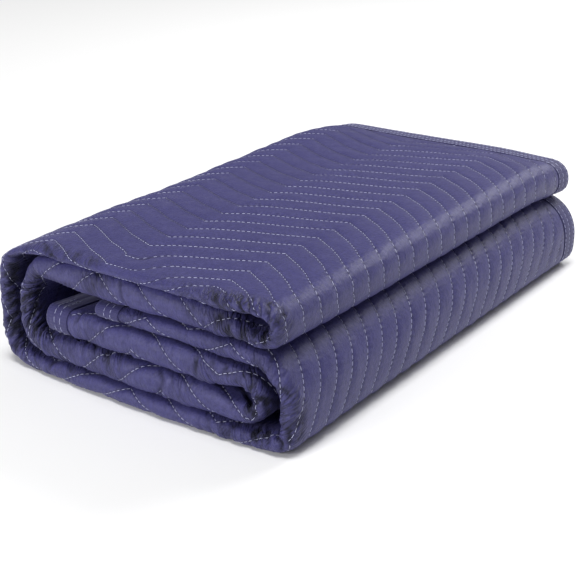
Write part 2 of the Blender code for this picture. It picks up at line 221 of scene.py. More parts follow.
def ramp(value, rounding):
    """The value where it is above 0, and else 0, with a rounded bend."""
    bent = (value + rounding) ** 2 / (4 * rounding)
    return np.where(value > rounding, value, np.where(value < -rounding, 0.0, bent))


def uneven(a, b, cell_a, cell_b, seed):
    """Soft noise from about -1 to 1 over two distances, with cells of the given sizes."""
    table = np.random.default_rng(seed).uniform(-1, 1, (257, 257))
    x, y = a / cell_a + 60.0, b / cell_b + 60.0
    i, j = np.floor(x).astype(int), np.floor(y).astype(int)
    p, q = smooth(x - i), smooth(y - j)
    i, j = i % 256, j % 256
    low = table[i, j] * (1 - p) + table[i + 1, j] * p
    high = table[i, j + 1] * (1 - p) + table[i + 1, j + 1] * p
    return low * (1 - q) + high * q


def level_height(level):
    """The height of the middle of a layer."""
    return STACK_HALF + level * LEVEL_STEP


class Bundle:
    """The way of the cloth across the width, and where its points lie."""

    def __init__(self):
        points, press, back, self.joints = [], [], [], []
        for i, layer in enumerate(LAYERS):
            before = TURNS[i - 1] if i else None
            after = TURNS[i] if i < len(TURNS) else None
            self.joints.append(len(points))
            length = abs(layer["end"] - layer["start"])
            count = round(length / ROUTE_SAMPLE)
            for k in range(count + (after is None)):
                gone = length * k / count
                z, pressed = level_height(layer["level"]), 1.0
                for turn, other, way in ((before, i - 1, gone), (after, i + 1, length - gone)):
                    if turn:
                        share = 1 - float(smooth(way / LEAD))
                        outward = math.copysign(1, layer["level"] - LAYERS[other]["level"])
                        z += share * outward * (1 - turn["press"]) * STACK_HALF
                        pressed -= share * (1 - turn["press"])
                points.append((layer["start"] + (layer["end"] - layer["start"]) * k / count, z))
                press.append(pressed)
                back.append(layer["back"])
            if after:
                self.joints.append(len(points))
                following = LAYERS[i + 1]
                apart = abs(following["level"] - layer["level"]) * LEVEL_STEP
                half = apart / 2 + (1 - after["press"]) * STACK_HALF
                rise = math.copysign(1, following["level"] - layer["level"])
                middle = (level_height(layer["level"]) + level_height(following["level"])) / 2
                waist = middle + (2 * after["waist"] - 1) * half
                count = round(math.pi * (half + after["reach"]) / 2 / ROUTE_SAMPLE)
                for k in range(count):
                    angle = math.pi * (k / count - 0.5) * rise
                    power = 2 / after["square_high" if angle > 0 else "square_low"]
                    out, up = abs(math.cos(angle)) ** power, abs(math.sin(angle)) ** power
                    z = waist + up * (middle + math.copysign(half, angle) - waist)
                    points.append((layer["end"] + after["side"] * after["reach"] * out, z))
                    press.append(after["press"])
                    gone = float(smooth(k / count))
                    back.append(layer["back"] + (following["back"] - layer["back"]) * gone)
        self.points = np.array(points)
        ways = np.gradient(self.points, axis=0)
        ways /= np.linalg.norm(ways, axis=1)[:, None]
        gaps = np.linalg.norm(np.diff(self.points, axis=0), axis=1)
        self.distance = np.concatenate([[0.0], np.cumsum(gaps)])
        self.width = self.distance[-1]
        self.columns = [self.points[:, 0], self.points[:, 1], ways[:, 1], -ways[:, 0], press, back]
        self.marks = [self.distance[j] for j in self.joints] + [self.width]

    def at(self, s):
        """X, Z, the way out, the press and how far back the near end lies, along the width."""
        return [np.interp(s, self.distance, column) for column in self.columns]

    def span(self, name):
        """Where a layer starts and ends along the width."""
        i = 2 * [layer["name"] for layer in LAYERS].index(name)
        return self.marks[i], self.marks[i + 1]

    def turn_span(self, number):
        """Where a numbered turn starts and ends along the width."""
        return self.marks[2 * number + 1], self.marks[2 * number + 2]

    def spot(self, s, y, height):
        """Points of the bundle from S and the place in the lengthwise section."""
        x, z, out_x, out_z, press, back = self.at(s)
        near = near_share(y)
        return settle(x + out_x * height * press, y + back * near, z + out_z * height * press)


def near_share(y):
    """1 at the near end, and 0 past the depth that its unevenness reaches."""
    return np.minimum(ramp(1 - (y - NEAR_END) / CREASE_DEPTH, 0.15), 1.0)


def across(x, places, values):
    """Values between places in X, with soft bends."""
    return sum(np.interp(x + way, places, values) for way in BEND_WAYS) / len(BEND_WAYS)


def settle(x, y, z):
    """Moves points of the even bundle to where they lie in the uneven one."""
    near = near_share(y)
    rows = np.stack([np.zeros_like(x)] + [across(x, CREASE_PLACES, row) for row in CREASES])
    level = np.clip(z / HEIGHT * LEVELS, 0.0, LEVELS)
    lower = np.minimum(np.floor(level).astype(int), LEVELS - 1)
    low = np.take_along_axis(rows, lower[None], 0)[0]
    high = np.take_along_axis(rows, lower[None] + 1, 0)[0]
    z = z + near * (low + (high - low) * (level - lower) - np.clip(z, 0.0, HEIGHT))
    sunk = across(x, SINK_PLACES, SINKS) * ramp((y - FAR_END) / SINK_LENGTH + 1, 0.2)
    high = smooth((z / HEIGHT - SWELL_FROM) / SWELL_OVER)
    for at_x, at_y, half_x, half_y, rise in SWELLS:
        z = z + rise * high * np.exp(-((x - at_x) / half_x) ** 2 - ((y - at_y) / half_y) ** 2)
    return x, y + near * BOW * (x / SIDE) ** 2, z * (1 - sunk)


# Where each straight or round run of the length starts: the outer ply, the near nose, the lower ply, the
# far fold, the ply over it, the inner nose and the ply under the outer one
RUNS = np.cumsum([
    0.0,
    FAR_END - NEAR_NOSE,
    math.pi * 1.5 * PLY_STEP,
    FAR_FOLD - NEAR_NOSE,
    math.pi * 0.5 * PLY_STEP,
    FAR_FOLD - NEAR_NOSE,
    math.pi * 0.5 * PLY_STEP,
    FAR_END - UNDER_EDGE_BACK - NEAR_NOSE,
])
CLOTH_LENGTH = RUNS[-1]


def fold_lengthwise(u, off):
    """Y and height in the stack of a point of the length, that lies off the middle of the cloth."""
    outer, inner = 1.5 * PLY_STEP, 0.5 * PLY_STEP
    near_turn = math.pi / 2 + (u - RUNS[1]) / outer
    far_turn = -math.pi / 2 + (u - RUNS[3]) / inner
    inner_turn = 1.5 * math.pi - (u - RUNS[5]) / inner
    places = (
        (FAR_END - u, outer + off),
        (NEAR_NOSE + (outer + off) * np.cos(near_turn), (outer + off) * np.sin(near_turn)),
        (NEAR_NOSE + (u - RUNS[2]), -outer - off),
        (FAR_FOLD + (inner + off) * np.cos(far_turn), -PLY_STEP + (inner + off) * np.sin(far_turn)),
        (FAR_FOLD - (u - RUNS[4]), -inner + off),
        (NEAR_NOSE + (inner - off) * np.cos(inner_turn), (inner - off) * np.sin(inner_turn)),
        (NEAR_NOSE + (u - RUNS[6]), inner - off),
    )
    tests = [u < stop for stop in RUNS[1:-1]] + [np.ones_like(u, bool)]
    return np.select(tests, [y for y, _ in places]), np.select(tests, [h for _, h in places])


bundle = Bundle()
CORNERS, SHIFTS = (np.array(column) for column in zip(*ZIGZAG))
FIRST_LINE_U = FAR_END - FIRST_LINE_Y


def zigzag(s):
    """How far along the length the lines lie at a place across the width."""
    return np.interp(s, CORNERS, SHIFTS)


def drawn(s, u):
    """How much further along the length the lines are drawn at a place."""
    return sum(much * np.exp(-((s - at_s) / half_s) ** 2 - ((u - at_u) / half_u) ** 2)
               for at_s, at_u, half_s, half_u, much in DRAWN)


def phase(s, u):
    """Whole numbers on the quilting's lines."""
    return (u - drawn(s, u) - zigzag(s) - FIRST_LINE_U) / ROW_PITCH


def line_place(s, number):
    """How far along the length a numbered line lies."""
    even = FIRST_LINE_U + number * ROW_PITCH + zigzag(s)
    u = even
    for _ in range(LINE_PASSES):
        u = 0.5 * u + 0.5 * (even + drawn(s, u))
    return u


def exposed(s):
    """1 where the cloth's outside is the outside of the bundle, and 0 between its layers."""
    over = smooth((s - bundle.span("under_top")[1] + 0.004) / 0.012)
    last = smooth((bundle.span("tucked")[0] + 0.004 - s) / 0.012)
    return np.minimum(over, last)


def near_nose(u):
    """1 on the rounded near ends, and 0 on the flat of the cloth."""
    before = smooth((u - RUNS[1] + NOSE_LEAD) / NOSE_BLEND)
    after = smooth((RUNS[2] + NOSE_UNDER - u) / NOSE_UNDER)
    return np.minimum(before, after)


def gathered(s, u):
    """How tightly the near ends are gathered: most of all at the inner side of a turn."""
    middle = (RUNS[1] + RUNS[2]) / 2
    span = np.searchsorted(bundle.marks, s, side="right")
    bent = (span % 2 == 0) & (span > 0)
    within = smooth((middle + 0.006 - u) / NOSE_BLEND)
    around = smooth((u - middle + 0.006) / NOSE_BLEND)
    inner = np.where(span <= 4, within, around)
    patches = smooth(uneven(s, u, 0.034, 0.050, 5) * 1.6)
    amount = LEAST_GATHERED + PATCHES * patches
    amount = amount + np.where(bent, TURN_GATHERED + INNER_GATHERED * inner, 0.0)
    for at, half, much in GATHERS:
        amount = amount + much * np.exp(-((s - at) / half) ** 2)
    return near_nose(u) * amount


def puckers(s, u):
    """The gathers: rounded ridges with sharp creases between them, running over the near ends."""
    lean = s + PUCKER_LEAN * (u - RUNS[1]) + 0.0020 * uneven(s, u, 0.015, 0.010, 9)
    broad = np.abs(uneven(lean, u, 0.0080, 0.026, 6)) ** PUCKER_SHARPNESS
    fine = np.abs(uneven(lean, u, 0.0050, 0.013, 7)) ** PUCKER_SHARPNESS
    return PUCKER * (broad + 0.40 * fine - 0.72)


def laid_creases(s, u):
    """The troughs of the listed creases, each with a low ridge beside it."""
    total = np.zeros_like(s)
    close = np.flatnonzero((u > RUNS[1] - 0.030) & (u < RUNS[2] + 0.030))
    at = np.stack([s[close], u[close]])
    for depth, *way in CREASE_LINES:
        nearest = np.full(len(close), 1.0)
        for a, b in zip(way, way[1:]):
            a, b = np.array(a)[:, None], np.array(b)[:, None]
            share = np.clip(((at - a) * (b - a)).sum(0) / ((b - a) ** 2).sum(), 0, 1)
            nearest = np.minimum(nearest, np.linalg.norm(at - a - (b - a) * share, axis=0))
        nearest = nearest / CREASE_HALF
        trough = np.exp(-nearest ** 2) - 0.30 * np.exp(-((nearest - 2.4) / 1.1) ** 2)
        total[close] += depth * trough
    return total


def relief(s, u):
    """How far the outside of the cloth stands off its mean."""
    d = np.abs(phase(s, u) - np.round(phase(s, u))) * 2
    puff = 1 - (1 - d) ** 2.4
    groove = np.exp(-((d * ROW_PITCH / 2) * math.cos(SLANT) / GROOVE_HALF) ** 2)
    height = VALLEY * (puff - 0.75) - GROOVE * groove
    height += BROAD_UNEVEN * uneven(s, u, 0.030, 0.022, 3) * puff
    height += FINE_UNEVEN * uneven(s, u, 0.011, 0.009, 4) * puff
    height += puckers(s, u) * gathered(s, u) - laid_creases(s, u)
    shown = np.maximum(exposed(s) * (u < RUNS[1] + 0.001), near_nose(u))
    base_start, base_end = bundle.span("base")
    under = smooth((s - base_start) / 0.02) * smooth((base_end - s) / 0.02)
    under = under * smooth((RUNS[1] + 0.006 - u) / 0.012)
    height = np.where(height > 0, height * (1 - under), height)
    height = height * (HIDDEN_SHARE + (1 - HIDDEN_SHARE) * shown)
    return height * smooth((way_in(s, u) - BINDING_WIDTH) / BINDING_BLEND)


def way_in(s, u):
    """The distance from the nearest edge of the cloth."""
    return np.minimum(np.minimum(u, CLOTH_LENGTH - u), np.minimum(s, bundle.width - s))


def half_thickness(s, u):
    """Half the cloth's thickness, less where it is bound."""
    return (BOUND_PLY + (PLY - BOUND_PLY) * smooth((way_in(s, u) - BINDING_WIDTH) / 0.004)) / 2


def cloth_points(s, u, side, lift=0.0):
    """Points on one side of the cloth, 1 for its outside and -1 for its inside."""
    off = half_thickness(s, u) + lift
    if side > 0:
        off = off + relief(s, u)
    y, height = fold_lengthwise(u, side * off)
    x, y, z = bundle.spot(s, y, height)
    return np.stack([x, y, np.maximum(z, 0.0)], axis=1)


def steps_between(a, b, step):
    """Even stops from one place up to, but not including, another."""
    count = max(1, round((b - a) / step))
    return list(np.linspace(a, b, count, endpoint=False))


def width_stops(straight, turned, shown, start=0.0, end=None):
    """Distances along the width, with their steps on the layers, in the turns and where it is exposed."""
    end = bundle.width if end is None else end
    marks = [start] + [m for m in bundle.marks if start < m < end]
    corners = [c for c in CORNERS if start + 0.002 < c < end - 0.002]
    clear = [m for m in marks if min([abs(m - c) for c in corners] + [1.0]) > 0.001]
    stops = []
    places = sorted(clear + corners + [end])
    for a, b in zip(places, places[1:]):
        middle = (a + b) / 2
        turn = np.searchsorted(bundle.marks, middle, side="right") % 2 == 0
        step = turned if turn else straight
        if float(exposed(np.array([middle]))[0]) > 0:
            step = min(step, shown)
        stops += steps_between(a, b, step)
    return np.array(stops + [end])


# Shares of a quilted row where the sheet's own rows lie, close together at the sewn line, and closest of
# all on the near ends
END_SHARES = (0.0, 0.06, 0.15, 0.27, 0.39, 0.5, 0.61, 0.73, 0.85, 0.94)
ROW_SHARES = (0.0, 0.07, 0.19, 0.34, 0.5, 0.66, 0.81, 0.93)
BINDING_STOPS = (0.0, 0.006, 0.013, 0.020, 0.0262, 0.0285)
UNDER_BINDING_STOPS = (0.0, 0.0130, 0.0262, 0.0300)
PLAIN_STEP = 0.045
FOLLOW_ROOM = 0.070
# Steps across the width: on the hidden layers, in the turns and where the cloth shows
STOP_STEPS = {
    "all": (0.0019, 0.0016, 0.0018),
    "shown": (0.030, 0.007, 0.0034),
    "fold": (0.0045, 0.0035, 0.0045),
    "plain": (0.030, 0.007, 0.0120),
}


def at_near_end(u):
    """Whether a row lies on the rounded near ends or close to them."""
    return RUNS[1] - 0.036 < u < RUNS[2] + 0.028


def quilted_rows():
    """The rows along the sewn lines, from the outer binding to past the near ends."""
    rows = []
    mean = (SHIFTS.min() + SHIFTS.max()) / 2
    k = math.floor((RUNS[0] - FIRST_LINE_U - SHIFTS.max()) / ROW_PITCH)
    while FIRST_LINE_U + k * ROW_PITCH < RUNS[2] + 0.100:
        middle = FIRST_LINE_U + (k + 0.5) * ROW_PITCH + mean
        for share in END_SHARES if at_near_end(middle) else ROW_SHARES:
            u = FIRST_LINE_U + (k + share) * ROW_PITCH + mean
            start = smooth((u - 0.030) / FOLLOW_ROOM)
            end = smooth((RUNS[2] + 0.075 - u) / FOLLOW_ROOM)
            if 0.031 < u < RUNS[2] + 0.072:
                rows.append((u, float(start * end), "all" if at_near_end(u) else "shown", 1))
        k += 1
    return rows


def hidden_rows():
    """The plain rows of the outside, from behind the near ends to the under binding."""
    rows = [(u, "plain") for u in steps_between(RUNS[2] + 0.080, RUNS[3] - 0.012, 0.040)]
    rows += [(RUNS[3] - 0.006, "plain"), (RUNS[3] - 0.001, "fold")]
    rows += [(RUNS[3] + (RUNS[4] - RUNS[3]) * n / 6, "fold") for n in range(1, 6)]
    rows += [(RUNS[4] + 0.001, "fold"), (RUNS[4] + 0.006, "plain")]
    rest = steps_between(RUNS[4] + 0.012, RUNS[5], PLAIN_STEP)
    rest += [RUNS[5] + (RUNS[6] - RUNS[5]) * n / 5 for n in range(5)]
    rest += steps_between(RUNS[6], CLOTH_LENGTH - 0.034, PLAIN_STEP)
    rest += [CLOTH_LENGTH - way for way in UNDER_BINDING_STOPS[::-1]]
    return [(u, 0.0, kind, 1) for u, kind in rows + [(u, "plain") for u in rest]]


def inside_rows():
    """The rows of the inside, back from the under binding to the outer one."""
    inside = [CLOTH_LENGTH - way for way in UNDER_BINDING_STOPS]
    inside += steps_between(CLOTH_LENGTH - 0.036, RUNS[6], PLAIN_STEP)
    inside += [RUNS[6] - (RUNS[6] - RUNS[5]) * n / 5 for n in range(5)]
    inside += steps_between(RUNS[5], RUNS[4] + 0.003, PLAIN_STEP)
    inside += [RUNS[4] - (RUNS[4] - RUNS[3]) * n / 5 for n in range(6)]
    inside += steps_between(RUNS[3] - 0.003, RUNS[2], PLAIN_STEP)
    inside += [RUNS[2] - (RUNS[2] - RUNS[1]) * n / 8 for n in range(8)]
    inside += steps_between(RUNS[1], 0.034, PLAIN_STEP)
    return [(u, 0.0, "plain", -1) for u in inside + list(UNDER_BINDING_STOPS[::-1])]


def sheet_rows():
    """The rows of the sheet's outside and then its inside: a place in U, how much of the zigzag it follows,
    which stops it has along the width, and its side."""
    bound = [(u, 0.0, "shown", 1) for u in BINDING_STOPS]
    return bound + quilted_rows() + hidden_rows() + inside_rows()


def zip_rows(first, first_at, second, second_at, faces):
    """Joins two rows of points that have their own stops with triangles."""
    i, j = 0, 0
    while i < len(first) - 1 or j < len(second) - 1:
        on_first = first_at[i + 1] if i < len(first) - 1 else math.inf
        on_second = second_at[j + 1] if j < len(second) - 1 else math.inf
        if on_first <= on_second:
            faces.append((first[i], first[i + 1], second[j]))
            i += 1
        else:
            faces.append((first[i], second[j + 1], second[j]))
            j += 1


def new_piece(name, points, faces, uv_maps):
    """A mesh piece from its points and faces, with UV maps given for each point."""
    mesh = bpy.data.meshes.new(name)
    mesh.from_pydata([tuple(p) for p in points], [], faces)
    bm = bmesh.new()
    bm.from_mesh(mesh)
    bmesh.ops.recalc_face_normals(bm, faces=bm.faces)
    bm.to_mesh(mesh)
    bm.free()
    corners = np.zeros(len(mesh.loops), np.int64)
    mesh.loops.foreach_get("vertex_index", corners)
    for title, values in uv_maps.items():
        layer = mesh.uv_layers.new(name=title)
        layer.data.foreach_set("uv", np.asarray(values, np.float32)[corners].ravel())
    mesh.shade_smooth()
    piece = bpy.data.objects.new(name, mesh)
    bpy.context.scene.collection.objects.link(piece)
    return piece


def sheet_faces(rows, flat):
    """The faces between the sheet's rows, round its whole outline, and those that close its two ends."""
    faces = []
    for (a, a_at, kind, _), (b, b_at, following, _) in zip(rows, rows[1:] + rows[:1]):
        if kind == following:
            faces += [(a[i], a[i + 1], b[i + 1], b[i]) for i in range(len(a) - 1)]
        else:
            zip_rows(a, a_at, b, b_at, faces)
    for end in (0, -1):
        outside = [row[0][end] for row in rows if row[3] > 0]
        inside = [row[0][end] for row in rows if row[3] < 0][::-1]
        zip_rows(outside, flat[outside, 1], inside, flat[inside, 1], faces)
    return [tuple(int(v) for v in face) for face in faces]


def fold_marks(s, u):
    """How tightly each point is gathered, and how much painted shade it gets in a crease or a hollow."""
    tight = gathered(s, u)
    start, end = bundle.turn_span(OUTER_WRAP)
    wrapped = smooth((s - start) / 0.02) * smooth((end - s) / 0.02)
    hollow = wrapped * smooth((u - RUNS[1] - 0.012) / 0.008) * HOLLOW_SHADE
    # Painted shade: where the puckers dip, along the listed creases and in the hollow of the outer wrap
    fold_shade = -puckers(s, u) / PUCKER * tight * 1.3 + laid_creases(s, u) / CREASE_FULL + hollow
    return np.stack([np.clip(tight, 0, 2), np.clip(fold_shade, 0, 1)], axis=1)


def quilted_sheet():
    """The whole padded cloth."""
    stops = {kind: width_stops(*steps) for kind, steps in STOP_STEPS.items()}
    mean = (SHIFTS.min() + SHIFTS.max()) / 2
    points, flat, rows = [], [], []
    count = 0
    for u, follow, kind, side in sheet_rows():
        s = stops[kind]
        along = u + (zigzag(s) - mean) * follow
        along = along + drawn(s, along) * follow
        points.append(cloth_points(s, along, side))
        flat.append(np.stack([s, along], axis=1))
        rows.append((np.arange(count, count + len(s)), s, kind, side))
        count += len(s)
    flat = np.concatenate(flat)
    s, u = flat[:, 0], flat[:, 1]
    quilt = np.stack([s / math.cos(SLANT), phase(s, u)], axis=1)
    maps = {"cloth": flat, "quilt": quilt, "folds": fold_marks(s, u)}
    return new_piece("quilted_cloth", np.concatenate(points), sheet_faces(rows, flat), maps)


# The binding: strips folded over the edges, and the ways in from the edge of their rows of stitches
TAPE_HALF = PLY / 2
TAPE_INSIDE = BOUND_PLY / 2 + 0.00015
TAPE_ROWS = (0.0045, 0.0140, 0.0235)
SIDE_ROWS = (0.0110, 0.0178)
TAPE_DIMPLE = 0.00035
TAPE_DIMPLE_HALF = 0.0013
TAPE_ROUNDING = 0.0022
INNER_POINTS = 4
FRAYED = 0.05


def tape_height(way):
    """How far a side of the strip stands off the middle of the cloth under it."""
    dimple = sum(np.exp(-((way - row) / TAPE_DIMPLE_HALF) ** 2) for row in TAPE_ROWS)
    rounded = np.sqrt(np.clip(1 - (1 - np.clip(way / TAPE_ROUNDING, 0, 1)) ** 2, 0, 1))
    last = smooth((BINDING_WIDTH - way) / 0.0012)
    return (TAPE_HALF - TAPE_DIMPLE * dimple) * rounded * (0.75 + 0.25 * last)


def strip_profile():
    """The closed outline of a folded strip: the way in from its edge and the height off the cloth."""
    ways = np.concatenate([np.linspace(BINDING_WIDTH - 0.0003, 0.0030, 19), (0.0020, 0.0010, 0.0004, 0.0)])
    top = [(way, float(tape_height(way))) for way in ways]
    under = [(way, -height) for way, height in top[-2::-1]]
    inner = [(BINDING_WIDTH - 0.0003, -TAPE_INSIDE), (0.0014, -TAPE_INSIDE * 0.9)]
    inner += [(way, -height) for way, height in inner[::-1]]
    return np.array(top + under + inner)


def strip(name, stops, place):
    """A folded strip along a bound edge; place gives S and U for stops along the edge and a way in."""
    outline = strip_profile()
    count = len(outline)
    developed = np.concatenate([[0.0], np.cumsum(np.linalg.norm(np.diff(outline, axis=0), axis=1))])
    points, flat = [], []
    for stop in stops:
        s, u = place(np.full(count, stop), outline[:, 0])
        frayed = 1 + FRAYED * uneven(s, u, 0.008, 0.006, 21)
        y, height = fold_lengthwise(u, outline[:, 1] * frayed)
        x, y, z = bundle.spot(s, y, height)
        points.append(np.stack([x, y, np.maximum(z, 0.0)], axis=1))
        flat.append(np.stack([np.full(count, stop), developed], axis=1))
    faces = []
    for n in range(len(stops) - 1):
        for k in range(count):
            a, b = n * count + k, n * count + (k + 1) % count
            faces.append((a, b, b + count, a + count))
    inner = count - INNER_POINTS
    half = inner // 2 + 1
    for first in (0, (len(stops) - 1) * count):
        for k in range(half - 1):
            mirror = inner - 1 - k
            if k < half - 2:
                faces.append((first + k, first + k + 1, first + mirror - 1, first + mirror))
            else:
                faces.append((first + k, first + k + 1, first + mirror))
        faces.append((first, first + inner - 1, first + inner, first + count - 1))
        faces.append(tuple(first + k for k in range(inner, count)))
    return new_piece(name, np.concatenate(points), faces, {"tape": np.concatenate(flat)})


# The thread, with painted shade between two places across the width, where it lies deep in the seams
SHADED_THREAD_SPAN = (0.966, 1.052)
STITCH_STEP = 0.0046
STITCH_LENGTH = 0.0038
STITCH_STRAY = 0.0003
STITCH_SHARES = (-1.0, -0.55, 0.0, 0.55, 1.0)
THREAD_HALF = 0.00021
QUILTING_LIFT = 0.00012
BINDING_LIFT = 0.00010
SAMPLE_WAY = 0.0005


def on_cloth(s, u, lift):
    """Points on the outside of the cloth."""
    return cloth_points(s, u, 1, lift)


def on_tape(s, u, lift):
    """Points on the outside of a strip."""
    y, height = fold_lengthwise(u, tape_height(way_in(s, u)) + lift)
    return np.stack(bundle.spot(s, y, height), axis=1)


def stitches(surface, s, u, ways, lift):
    """Short threads lying on a surface, at places with a direction in S and U."""
    half = STITCH_LENGTH / 2
    ends = []
    for share in STITCH_SHARES:
        ends.append(surface(s + ways[0] * half * share, u + ways[1] * half * share, lift))
    beside = surface(s - ways[1] * SAMPLE_WAY, u + ways[0] * SAMPLE_WAY, lift) - ends[2]
    beside /= np.linalg.norm(beside, axis=1)[:, None]
    along = ends[4] - ends[0]
    along /= np.linalg.norm(along, axis=1)[:, None]
    up = np.cross(along, beside)
    middle = surface(s, u, lift + 2 * SAMPLE_WAY) - ends[2]
    up *= np.sign(np.sum(up * middle, axis=1))[:, None]
    rings = [ends[0] - up * THREAD_HALF]
    for place in ends[1:4]:
        rings += [place + beside * THREAD_HALF, place + up * THREAD_HALF * 1.1, place - beside * THREAD_HALF]
        rings += [place - up * THREAD_HALF]
    rings.append(ends[4] - up * THREAD_HALF)
    return np.stack(rings, axis=1)


def stitch_faces():
    """The faces of one stitch: a point, three rings of four and a point."""
    faces = []
    for k in range(4):
        following = (k + 1) % 4
        faces.append((0, 1 + k, 1 + following))
        for ring in (1, 5):
            faces.append((ring + k, ring + 4 + k, ring + 4 + following, ring + following))
        faces.append((9 + k, 13, 9 + following))
    return faces


def quilting_thread():
    """The stitches of the quilting wherever the bundle shows them."""
    lines = np.arange(-40, 90)
    s_stops = np.arange(0.030, bundle.width - 0.030, STITCH_STEP * math.cos(SLANT))
    s, k = np.meshgrid(s_stops, lines)
    rng = np.random.default_rng(11)
    starts = rng.uniform(0, STITCH_STEP, (len(lines), 1))
    s = (s + starts + rng.uniform(-STITCH_STRAY, STITCH_STRAY, s.shape)).ravel()
    k = k.ravel()
    u = line_place(s, k)
    clear = (u > BINDING_WIDTH + 0.003) & (u < CLOTH_LENGTH - BINDING_WIDTH - 0.003)
    outside = (u < RUNS[1]) & (exposed(s) > 0.3)
    nose = (u > RUNS[1] - 0.012) & (u < RUNS[2] + 0.008)
    fold = (u > RUNS[3] - 0.001) & (u < RUNS[4] + 0.001)
    kept = clear & (outside | nose | fold)
    s, u = s[kept], u[kept]
    slope = (line_place(s + 0.0002, k[kept]) - line_place(s - 0.0002, k[kept])) / 0.0004
    size = np.sqrt(1 + slope ** 2)
    rings = stitches(on_cloth, s, u, (1 / size, slope / size), QUILTING_LIFT)
    # Painted shade on the stitches between two places across the width, short of the near end
    low, high = SHADED_THREAD_SPAN
    sunk = smooth((s - low) / 0.010) * smooth((high - s) / 0.010) * smooth((0.465 - u) / 0.030)
    return thread_piece("quilting_thread", rings, sunk)


def binding_thread():
    """The rows of stitches on the strips, where they show."""
    rings = []
    for row in TAPE_ROWS:
        s = np.arange(bundle.span("under_top")[1], bundle.span("tucked")[0], STITCH_STEP)
        u = np.full_like(s, row)
        rings.append(stitches(on_tape, s, u, (1.0, 0.0), BINDING_LIFT))
    for row in SIDE_ROWS:
        for edge in (row, bundle.width - row):
            u = np.arange(RUNS[1] - 0.020, RUNS[2] + 0.020, STITCH_STEP)
            rings.append(stitches(on_tape, np.full_like(u, edge), u, (0.0, 1.0), BINDING_LIFT))
    rings = np.concatenate(rings)
    return thread_piece("binding_thread", rings, np.zeros(len(rings)))


def thread_piece(name, rings, sunk):
    """A piece of many stitches, with how far along and which each one is, and how much painted shade it has.
    """
    count = rings.shape[1]
    faces = []
    for n in range(len(rings)):
        faces += [tuple(v + n * count for v in face) for face in stitch_faces()]
    points = rings.reshape(-1, 3)
    lengthwise = np.tile(np.linspace(0, 1, count), len(rings))
    number = np.repeat(np.arange(len(rings)) * 0.37 % 1.0, count)
    maps = {"thread": np.stack([lengthwise, number], axis=1)}
    maps["sunk"] = np.stack([np.repeat(sunk, count), lengthwise], axis=1)
    return new_piece(name, points, faces, maps)


CAMERA_PLACE = (0.6076, -0.8865, 0.4536)
CAMERA_HEADING = math.radians(35.633)
CAMERA_SLOPE = math.radians(21.936)
CAMERA_LENS = 74.725
FLOOR_SIZE = 60.0
WORLD_STRENGTH = 0.21
# Each lamp's name, kind, place, size (for the sun its angle) and power
LAMPS = (
    ("sun", "SUN", (0.05, -0.14, 1.0), 0.45, 1.9),
    ("near", "AREA", (-0.4, -1.8, 0.7), 0.7, 17.0),
    ("back", "AREA", (0.45, 1.70, 1.35), 1.0, 25.0),
)
LAMP_AIM = Vector((0, 0, 0.05))


def camera():
    """The camera at the photograph's place."""
    data = bpy.data.cameras.new("camera")
    data.lens = CAMERA_LENS
    data.sensor_width = 36.0
    data.clip_end = 50.0
    eye = bpy.data.objects.new("camera", data)
    bpy.context.scene.collection.objects.link(eye)
    level = math.cos(CAMERA_SLOPE)
    ahead = (-math.sin(CAMERA_HEADING) * level, math.cos(CAMERA_HEADING) * level)
    way = Vector((*ahead, -math.sin(CAMERA_SLOPE)))
    eye.location = CAMERA_PLACE
    eye.rotation_mode = "QUATERNION"
    eye.rotation_quaternion = way.to_track_quat("-Z", "Y")
    bpy.context.scene.camera = eye


def studio():
    """A pale floor, a pale world and soft lights."""
    bpy.ops.mesh.primitive_plane_add(size=FLOOR_SIZE, location=(0.0, 0.0, 0.0))
    floor = bpy.context.active_object
    floor.name = "floor"
    paint = Finish("pale_floor", base=(0.93, 0.93, 0.93, 1.0), roughness=0.9)
    floor.data.materials.append(paint.material)
    world = bpy.data.worlds.new("studio")
    bpy.context.scene.world = world
    world.use_nodes = True
    world.node_tree.nodes["Background"].inputs["Color"].default_value = (1.0, 1.0, 1.0, 1.0)
    world.node_tree.nodes["Background"].inputs["Strength"].default_value = WORLD_STRENGTH
    for name, kind, place, size, power in LAMPS:
        lamp = bpy.data.lights.new(name, kind)
        if kind == "SUN":
            lamp.angle = size
        else:
            lamp.size = size
        lamp.energy = power
        holder = bpy.data.objects.new(name, lamp)
        bpy.context.scene.collection.objects.link(holder)
        holder.location = place
        holder.rotation_mode = "QUATERNION"
        holder.rotation_quaternion = (LAMP_AIM - Vector(place)).to_track_quat("-Z", "Y")


class Shade:
    """A value in a material, whose sums and products add Math nodes."""

    def __init__(self, finish, socket):
        self.finish, self.socket = finish, socket

    def math(self, operation, *others, first=None):
        values = (self if first is None else first,) + others
        return self.finish.node("ShaderNodeMath", {"operation": operation}, values)

    def __add__(self, other):
        return self.math("ADD", other)

    def __sub__(self, other):
        return self.math("SUBTRACT", other)

    def __mul__(self, other):
        return self.math("MULTIPLY", other)

    def __rsub__(self, other):
        return self.math("SUBTRACT", self, first=other)

    __radd__ = __add__
    __rmul__ = __mul__


